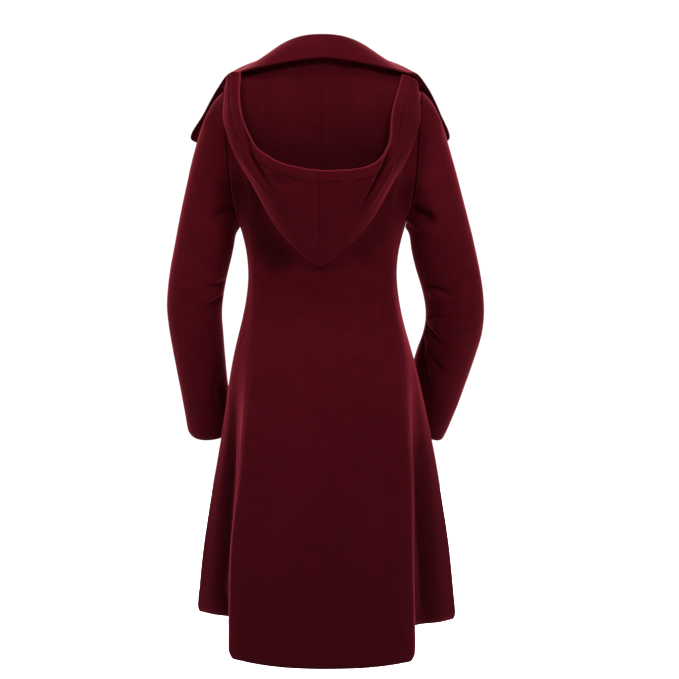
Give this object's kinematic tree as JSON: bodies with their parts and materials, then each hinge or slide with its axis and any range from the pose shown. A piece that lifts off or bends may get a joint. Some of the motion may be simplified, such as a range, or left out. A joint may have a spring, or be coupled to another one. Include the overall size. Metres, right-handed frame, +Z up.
{
  "type": "overcoat",
  "caption": "Women's knee-length hooded overcoat, filled out as when worn: open neck, cuffs and hem, wide pointed collar, hood hanging down the back, fitted waist and flared skirt.",
  "frame": {"origin": "centre of the neck opening at the height of the nape seam, where the wearer's neck and shoulders carry the coat", "axes": "+Z up, -Y the way the front faces, +X the wearer's left"},
  "size_m": [0.5753, 0.3782, 1.0963],
  "materials": {
    "coating": "matt burgundy wool-blend coating with a short brushed nap",
    "button": "dark wine plastic, half matt"
  },
  "bodies": {
    "root": {"back": "coating", "side_back_left": "coating", "side_back_right": "coating", "front_left": "coating", "front_right": "coating", "sleeve_left": "coating", "sleeve_right": "coating", "hood_left": "coating", "hood_right": "coating", "collar": "coating", "button_1": "button", "button_2": "button", "button_3": "button", "button_4": "button"}
  },
  "joints": []
}
